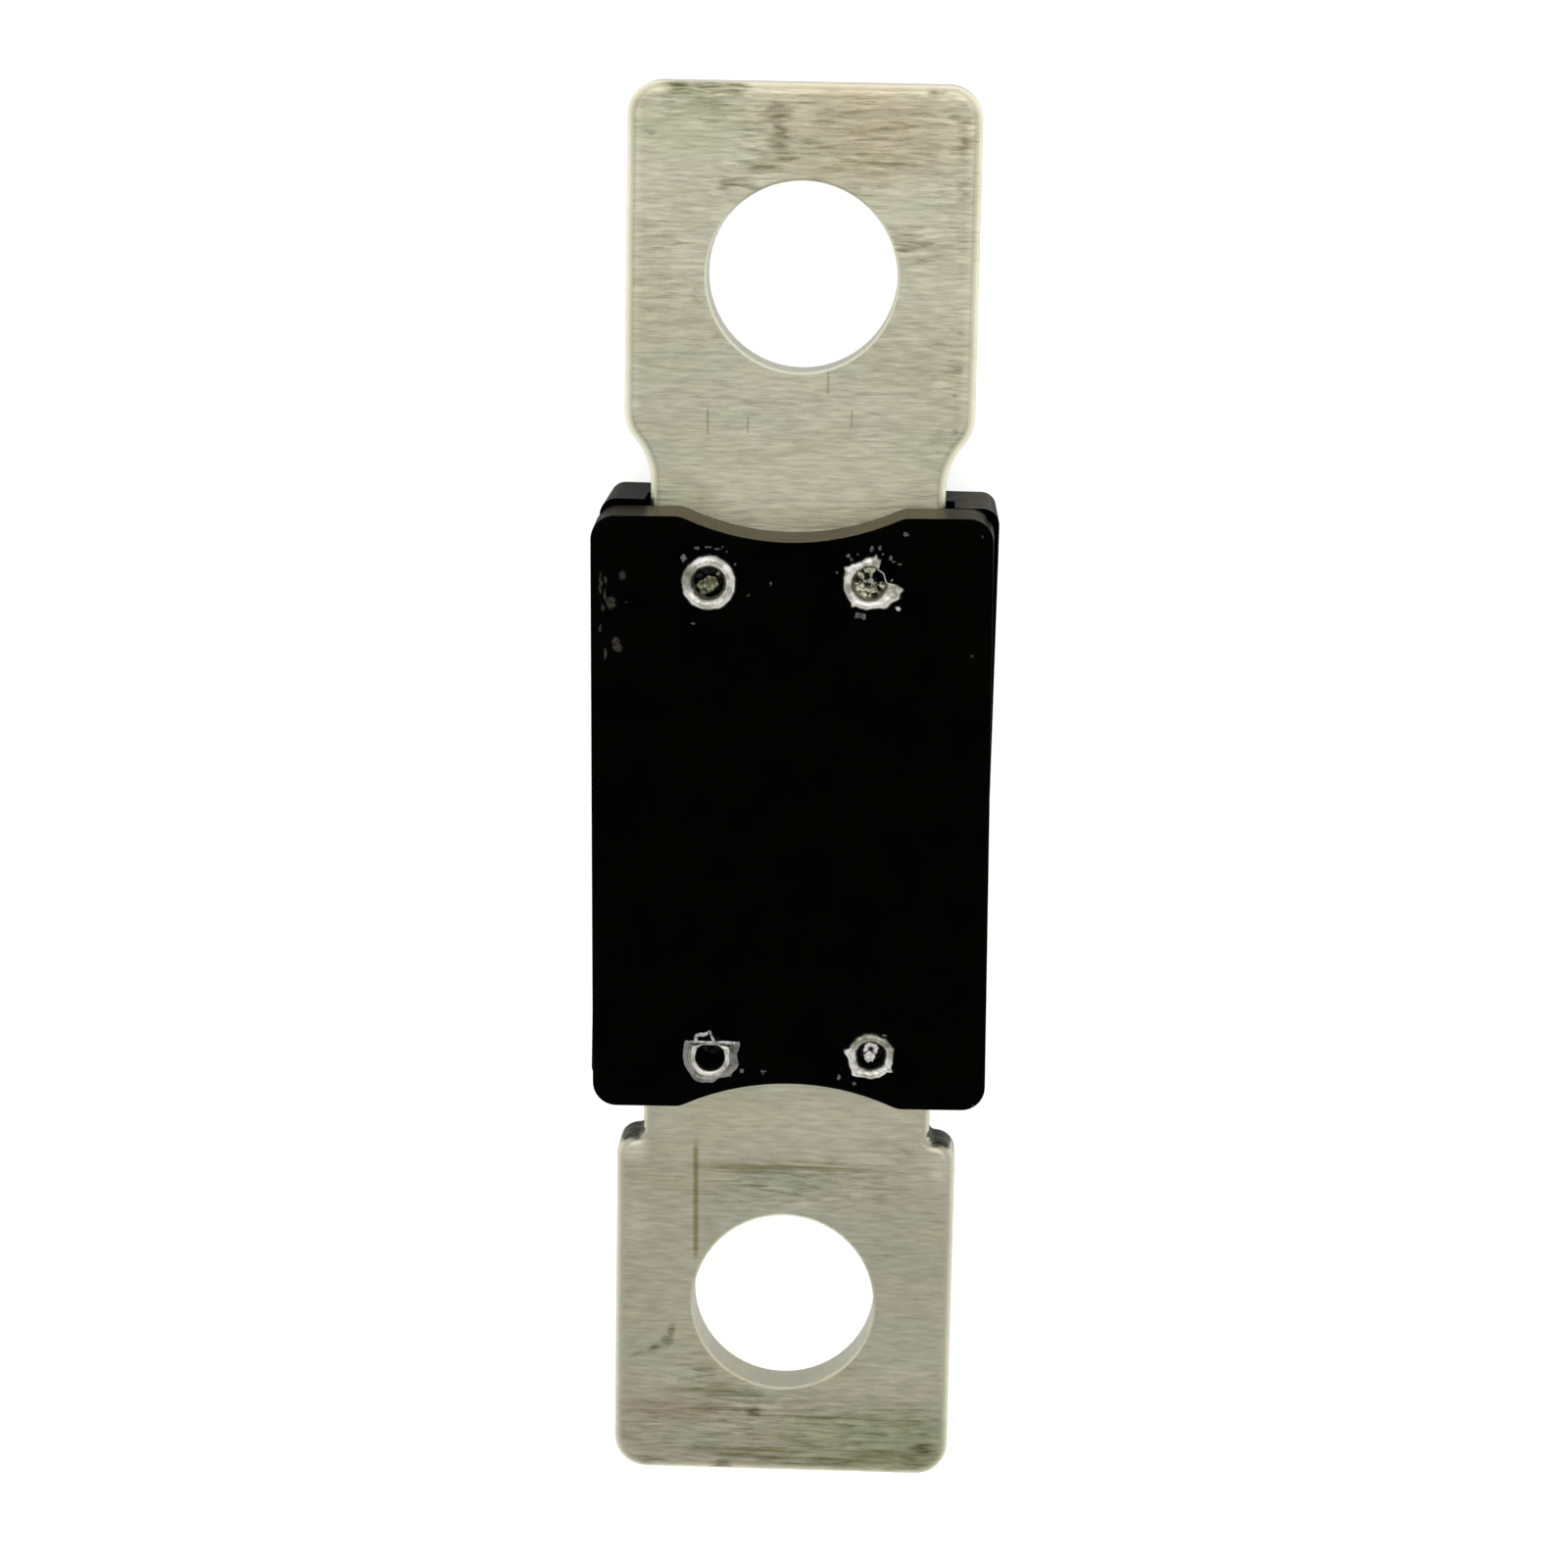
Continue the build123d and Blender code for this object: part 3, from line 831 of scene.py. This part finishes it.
RIVETS = {
    "rivet_upper_left": Rivet(
        side=-1, end=1, slip=Vector((-0.05, -0.27)), ring=1.35, mouth=0.71,
        lobes=[(-60, 40, 0.03)],
        bore_colour=rgb(0.11, 0.11, 0.07),
        floor=0.95, pit=0.75, wave=0.05,
        dull=[(-1.0, 0.15, 0.85, 0.8), (0.85, -0.2, 0.35, 0.5)],
        stubs=(
            (0.06, -0.14, 0.44, -0.40, 0), (-0.20, -0.28, 0.40, -0.43, 0), (0.42, 0.40, 0.12, -0.3, 0),
        ),
        stub_colours=(rgb(0.42, 0.43, 0.30), rgb(0.13, 0.14, 0.07)),
    ),
    "rivet_upper_right": Rivet(
        side=1, end=1, slip=Vector((-0.17, -0.23)), ring=1.31, mouth=0.74,
        lobes=[
            (-8, 12, 0.34), (-24, 22, 0.34), (-52, 22, 0.16), (78, 7, 0.16), (148, 12, 0.16),
            (115, 18, -0.12), (234, 8, 0.16),
        ],
        bore_colour=rgb(0.82, 0.82, 0.64),
        floor=0.42, pit=0.42, wave=0.07, grit=0.22,
        dull=[(-0.95, -0.25, 0.45, 0.8), (0.35, 1.1, 0.45, 0.8), (1.25, 0.1, 0.5, 0.8)],
        stubs=(
            (0.07, 0.13, 0.13, -0.06, 0), (0.16, -0.36, 0.16, -0.20, 0), (-0.36, -0.16, 0.13, -0.24, 0),
        ),
        stub_colours=(rgb(0.95, 0.95, 0.86), rgb(0.60, 0.60, 0.48)),
        missing=(33, 29),
    ),
    "rivet_lower_left": Rivet(
        side=-1, end=-1, slip=Vector((0.06, -0.24)), ring=1.35, mouth=0.66,
        lobes=[
            (146, 25, 0.10), (241, 26, 0.12), (293, 20, -0.13), (318, 14, 0.06), (339, 20, 0.12),
            (30, 28, 0.29),
        ],
        bore_colour=rgb(0.05, 0.05, 0.04),
        floor=2.4, pit=0.9, wave=0.03,
        dull=[(-0.42, 1.0, 0.9, 1.0), (0.6, -0.7, 0.5, 0.4)],
        rim_shade=(0.96, 1.08, 0.36),
        roll=LIPPED_ROLL,
        top_cut=0.80,
    ),
    "rivet_lower_right": Rivet(
        side=1, end=-1, slip=Vector((0.13, -0.09)), ring=1.17, mouth=0.65,
        lobes=[
            (172, 15, 0.22), (228, 34, 0.18), (-37, 10, 0.26), (-80, 40, 0.05), (60, 20, -0.04),
            (110, 9, 0.05), (20, 9, 0.05),
        ],
        bore_colour=rgb(0.26, 0.17, 0.10),
        floor=1.0, pit=0.62, wave=0.09,
        dull=[
            (-0.1, 1.0, 0.9, 1.0), (0.7, 0.8, 0.6, 1.0), (1.15, 0.2, 0.6, 0.9), (-0.8, 0.7, 0.6, 0.9),
            (-0.7, -0.3, 0.3, 0.7),
        ],
        stubs=((-0.07, -0.06, 0.29, 0.08, 0), (-0.02, 0.26, 0.40, -0.06, 0.10)),
        stub_colours=(rgb(0.97, 0.97, 0.92), rgb(0.70, 0.69, 0.64)),
    ),
}


def add_piece(name, mesh, material):
    """A new piece of the fuse, with its material, attached to the body."""
    piece = bpy.data.objects.new(name, mesh)
    mesh.materials.append(material)
    bpy.context.scene.collection.objects.link(piece)
    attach(piece, BODY)
    return piece


def add_rivets():
    """The four rivets with their own rolled ends, in place of the CAD node's."""
    for name, rivet in RIVETS.items():
        mesh = rivet.mesh(name)
        piece = add_piece(name, mesh, rivet_metal(name + "_metal", rivet))
        if rivet.stubs:
            mesh.materials.append(stub_metal(name + "_stub", *rivet.stub_colours))
        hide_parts("rivets")


# Slivers on the front face round the rivets, in millimetres: x, y, half width, half height
SLIVERS = [
    (-5.23, 12.40, 0.17, 0.24), (-4.61, 12.88, 0.15, 0.08), (-4.06, 12.94, 0.20, 0.06),
    (-3.66, 12.87, 0.21, 0.06), (-3.41, 12.97, 0.05, 0.05), (-3.20, 12.75, 0.06, 0.06),
    (-4.02, 12.60, 0.06, 0.05), (-2.80, 12.15, 0.06, 0.06), (2.54, 12.67, 0.14, 0.14),
    (2.66, 12.50, 0.08, 0.08), (2.97, 12.76, 0.06, 0.06), (3.61, 13.00, 0.10, 0.17),
    (3.98, 13.08, 0.10, 0.13), (4.14, 12.79, 0.06, 0.06), (4.50, 12.62, 0.09, 0.15),
    (4.64, 12.44, 0.12, 0.06), (4.92, 12.33, 0.13, 0.06), (5.20, 13.76, 0.15, 0.10),
    (2.00, 11.88, 0.08, 0.06), (3.02, 9.86, 0.22, 0.15), (3.26, 9.80, 0.16, 0.14),
    (-4.73, 9.29, 0.13, 0.06), (-1.11, 11.28, 0.06, 0.13), (-2.11, -12.57, 0.13, 0.12),
    (-1.08, -12.57, 0.18, 0.06), (-1.07, -12.67, 0.06, 0.07), (-2.66, -12.76, 0.09, 0.16),
    (2.58, -12.76, 0.10, 0.17), (3.32, -13.07, 0.12, 0.10), (4.72, -10.64, 0.17, 0.08),
    (9.10, -14.00, 0.05, 0.05),
]
BRIGHT_SLIVERS = [(4.89, 10.21, 0.14, 0.13), (3.26, 9.80, 0.08, 0.06)]
SLIVER_SIDES = 11
SLIVER_SEED = 23
SLIVER_HEIGHTS = (0.04, 0.10)

# Section of a sliver: share of its height, and share of its half sizes
SLIVER_SECTION = ((0.0, 1.0), (0.6, 0.9), (1.0, 0.5))


def add_sliver(shells, draw, x, y, half_width, half_height):
    """A flat crumb with an uneven rim, added to the shells."""
    height = draw.uniform(*SLIVER_HEIGHTS)
    rings = []
    for level, share in SLIVER_SECTION:
        row = []
        for i in range(SLIVER_SIDES):
            turn = 2 * math.pi * i / SLIVER_SIDES
            across, along = math.cos(turn) / half_width, math.sin(turn) / half_height
            radius = share * draw.uniform(0.55, 1.2) / math.hypot(across, along)
            row.append((radius, FACE + level * height * draw.uniform(0.7, 1.0)))
        rings.append(shells.ring(x, y, row))
    shells.loft(rings, (x, y, FACE), (x, y, FACE + height))


def add_slivers():
    """Dull and then bright slivers, lying on the front face."""
    draw = random.Random(SLIVER_SEED)
    shells = Shells(SLIVER_SIDES)
    for row in SLIVERS:
        add_sliver(shells, draw, *row)
    dull_faces = len(shells.faces)
    for row in BRIGHT_SLIVERS:
        add_sliver(shells, draw, *row)
    mesh = shells.mesh("rivet_slivers", smooth=False, second_from=dull_faces)
    dull = crumb_metal("sliver_dull", rgb(0.05, 0.05, 0.055), rgb(0.19, 0.18, 0.18))
    add_piece("rivet_slivers", mesh, dull)
    mesh.materials.append(crumb_metal("sliver_bright", rgb(0.35, 0.35, 0.33), rgb(0.80, 0.80, 0.76)))


# Curl of metal above the lower left rivet's flat, and the thin lip along the flat.
# In millimetres from the middle of the rolled end: x, y, and share of the wire's radius.
CURL_ROUTE = [
    (-0.66, 0.76, 1.0), (-0.74, 0.98, 1.3), (-0.52, 1.12, 1.2), (-0.28, 1.08, 1.3), (-0.10, 1.22, 0.9),
    (-0.02, 1.31, 0.5), (0.03, 1.10, 0.8), (0.12, 0.92, 0.9), (0.20, 0.74, 0.9),
]
LIP_ROUTE = [
    (-1.12, 0.72, 0.6), (-0.6, 0.74, 0.9), (0.0, 0.72, 0.7), (0.6, 0.74, 1.0), (1.1, 0.73, 1.1),
    (1.34, 0.70, 0.7),
]
CURL_RADIUS = 0.095
CURL_HEIGHT = 0.15


def add_curl():
    """The crumpled curl and the lip, as round wires that lie on the front face."""
    rivet = RIVETS["rivet_lower_left"]
    middle = rivet.hole() + rivet.slip
    curve = bpy.data.curves.new("rivet_curl", "CURVE")
    curve.dimensions = "3D"
    curve.bevel_depth = CURL_RADIUS * MM
    curve.bevel_resolution = 4
    curve.use_fill_caps = True
    for route in (CURL_ROUTE, LIP_ROUTE):
        spline = curve.splines.new("NURBS")
        spline.points.add(len(route) - 1)
        for point, (x, y, share) in zip(spline.points, route):
            point.co = ((middle.x + x) * MM, (middle.y + y) * MM, (FACE + CURL_HEIGHT) * MM, 1.0)
            point.radius = share
        spline.order_u = 3
        spline.use_endpoint_u = True
    metal = stub_metal("rivet_curl_metal", rgb(0.62, 0.62, 0.60), rgb(0.22, 0.22, 0.22))
    add_piece("rivet_curl", curve, metal)


def dress(node, material):
    """Gives a CAD node one material."""
    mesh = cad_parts[node].data
    mesh.materials.clear()
    mesh.materials.append(material)


def add_camera():
    """The camera that was fitted to the photograph."""
    forward = (CAMERA_AIM - CAMERA_PLACE).normalized()
    level_right = forward.cross(Vector((0, 1, 0))).normalized()
    level_up = level_right.cross(forward)
    up = math.cos(CAMERA_ROLL) * level_up + math.sin(CAMERA_ROLL) * level_right
    right = forward.cross(up)
    data = bpy.data.cameras.new("camera")
    data.lens = CAMERA_LENS
    data.sensor_width = SENSOR
    data.clip_start = 0.01
    data.clip_end = 20.0
    camera = bpy.data.objects.new("camera", data)
    turn = Matrix((right, up, -forward)).transposed().to_4x4()
    camera.matrix_world = Matrix.Translation(CAMERA_PLACE) @ turn
    bpy.context.scene.collection.objects.link(camera)
    bpy.context.scene.camera = camera


def add_lamp():
    """A soft overhead lamp, aimed at the origin."""
    data = bpy.data.lights.new("overhead_lamp", "AREA")
    data.shape = "SQUARE"
    data.size = LAMP_SIZE
    data.energy = LAMP_POWER
    lamp = bpy.data.objects.new("overhead_lamp", data)
    lamp.location = LAMP_PLACE
    lamp.rotation_euler = (-Vector(LAMP_PLACE)).to_track_quat("-Z", "Y").to_euler()
    bpy.context.scene.collection.objects.link(lamp)


def add_world():
    """A pale room: bright near the horizon and softer overhead."""
    world = bpy.data.worlds.new("pale_room")
    bpy.context.scene.world = world
    world.use_nodes = True
    tree = world.node_tree
    tree.nodes.clear()
    where = tree.nodes.new("ShaderNodeTexCoord").outputs["Generated"]
    split = tree.nodes.new("ShaderNodeSeparateXYZ")
    tree.links.new(where, split.inputs[0])
    level = tree.nodes.new("ShaderNodeMapRange")
    level.inputs["From Min"].default_value = LOW_SKY
    level.inputs["From Max"].default_value = HIGH_SKY
    level.inputs["To Min"].default_value = LOW_SKY_GLOW
    level.inputs["To Max"].default_value = HIGH_SKY_GLOW
    tree.links.new(split.outputs["Z"], level.inputs["Value"])
    glow = tree.nodes.new("ShaderNodeBackground")
    tree.links.new(level.outputs["Result"], glow.inputs["Strength"])
    out = tree.nodes.new("ShaderNodeOutputWorld")
    tree.links.new(glow.outputs[0], out.inputs["Surface"])


def floor_material():
    """White to the camera and in reflections, with the object's shadow left on it."""
    s = Shader("floor_pale")
    path = s.node("ShaderNodeLightPath")
    seen = s.calc("ADD", path.outputs["Is Camera Ray"], path.outputs["Is Glossy Ray"])
    seen = s.calc("ADD", seen, path.outputs["Is Transmission Ray"], clamp=True)
    plain = s.node("ShaderNodeBsdfDiffuse", {"Color": rgb(0.80, 0.80, 0.80)}).outputs[0]
    dim = s.node("ShaderNodeBsdfDiffuse", {"Color": rgb(0.9, 0.9, 0.9)}).outputs[0]
    glow = s.node("ShaderNodeEmission", {"Color": rgb(1, 1, 1), "Strength": FLOOR_GLOW}).outputs[0]
    white = s.node("ShaderNodeAddShader", {0: dim, 1: glow}).outputs[0]
    both = s.node("ShaderNodeMixShader", {0: seen, 1: plain, 2: white}).outputs[0]
    s.node("ShaderNodeOutputMaterial", {"Surface": both})
    return s.material


def add_floor():
    """A plain floor under the fuse, which is no part of it."""
    half = FLOOR_HALF
    mesh = bpy.data.meshes.new("floor")
    corners = [(-half, -half, 0), (half, -half, 0), (half, half, 0), (-half, half, 0)]
    mesh.from_pydata(corners, [], [(0, 1, 2, 3)])
    mesh.materials.append(floor_material())
    floor = bpy.data.objects.new("floor", mesh)
    bpy.context.scene.collection.objects.link(floor)


bpy.context.scene.view_settings.view_transform = "Standard"
add_camera()
add_world()
add_lamp()
add_floor()
dress("fuse_strip", strip_metal())
black = moulding()
dress("front_cover", black)
dress("back_cover", black)
add_rivets()
add_slivers()
add_curl()
